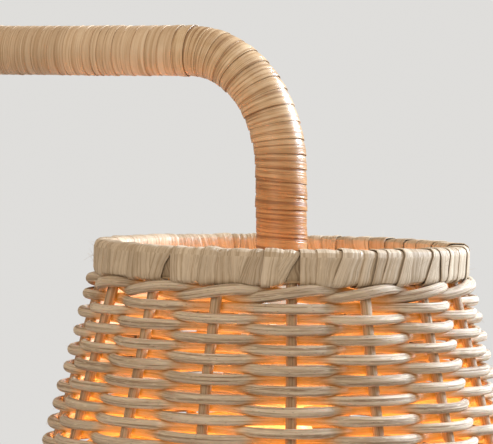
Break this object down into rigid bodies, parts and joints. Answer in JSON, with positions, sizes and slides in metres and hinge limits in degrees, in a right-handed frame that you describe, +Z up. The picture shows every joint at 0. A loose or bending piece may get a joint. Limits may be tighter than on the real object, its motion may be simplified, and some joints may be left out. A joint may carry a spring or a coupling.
{
  "type": "table lamp",
  "caption": "Table lamp with a weighted round base, a hooked post wrapped in rattan peel, and a woven rattan shade open at both ends that hangs over a bulb.",
  "frame": {"origin": "centre of the felt foot, on the surface the lamp stands on, under the post", "axes": "+Z up along the post; +X from the post along the arm to the shade; the switch knob points to -Y and the lead enters at -X"},
  "size_m": [0.4691, 0.2726, 0.5385],
  "materials": {
    "rattan_rod": "satin",
    "rattan_peel": "satin",
    "raffia": "matte",
    "rattan_coil": "satin",
    "board": "matte",
    "felt": "matte",
    "plate_steel": "satin",
    "tube_steel": "satin",
    "zinc_steel": "satin",
    "brass": "satin",
    "holder_plastic": "satin",
    "holder_insulator": "matte",
    "lead_sleeve": "matte",
    "opal_glass": "gloss"
  },
  "bodies": {
    "lamp": {"felt_foot": "felt", "base_board": "board", "base_weight_plate": "plate_steel", "base_cover": "rattan_coil", "lead_gland": "lead_sleeve", "foot_collar": "rattan_peel", "hook_tube": "tube_steel", "hook_wrap": "rattan_peel", "foot_plug": "tube_steel", "drop_plug": "tube_steel", "base_nipple": "brass", "base_nut": "zinc_steel", "drop_nipple": "brass", "drop_nut": "zinc_steel", "inner_lead": "lead_sleeve", "holder_cap": "holder_plastic", "holder_body": "holder_plastic", "holder_insert": "holder_insulator", "screw_shell": "brass", "centre_contact": "brass", "fitter_ring": "zinc_steel", "shade_ring": "holder_plastic", "top_rim_hoop": "board", "top_rim_wrap": "raffia", "bottom_rim_hoop": "board", "bottom_rim_wrap": "raffia", "stake_01": "rattan_rod", "stake_02": "rattan_rod", "stake_03": "rattan_rod", "stake_04": "rattan_rod", "stake_05": "rattan_rod", "stake_06": "rattan_rod", "stake_07": "rattan_rod", "stake_08": "rattan_rod", "stake_09": "rattan_rod", "stake_10": "rattan_rod", "stake_11": "rattan_rod", "stake_12": "rattan_rod", "stake_13": "rattan_rod", "stake_14": "rattan_rod", "stake_15": "rattan_rod", "stake_16": "rattan_rod", "weave_course_1": "rattan_rod", "weave_course_2": "rattan_rod", "weave_course_3": "rattan_rod", "weave_course_4": "rattan_rod", "top_twine_a": "rattan_rod", "top_twine_b": "rattan_rod", "bottom_twine_a": "rattan_rod", "bottom_twine_b": "rattan_rod", "carrier_ring": "zinc_steel", "fitter_arm_1": "zinc_steel", "fitter_arm_2": "zinc_steel", "fitter_arm_3": "zinc_steel"},
    "switch_knob": {"switch_shaft": "brass", "switch_knob": "holder_plastic"},
    "bulb": {"bulb_cap": "brass", "bulb_contact": "brass", "bulb_glass": "opal_glass", "bulb_stem": "opal_glass"}
  },
  "joints": [
    {"name": "switch_turn", "type": "hinge", "parent": "lamp", "child": "switch_knob", "pos_m": [0.215, -0.03, 0.394], "axis": [0, -1, 0], "continuous": true},
    {"name": "bulb_withdraw", "type": "slide", "parent": "lamp", "child": "bulb", "axis": [0, 0, -1], "range_m": [0, 0.15]}
  ]
}
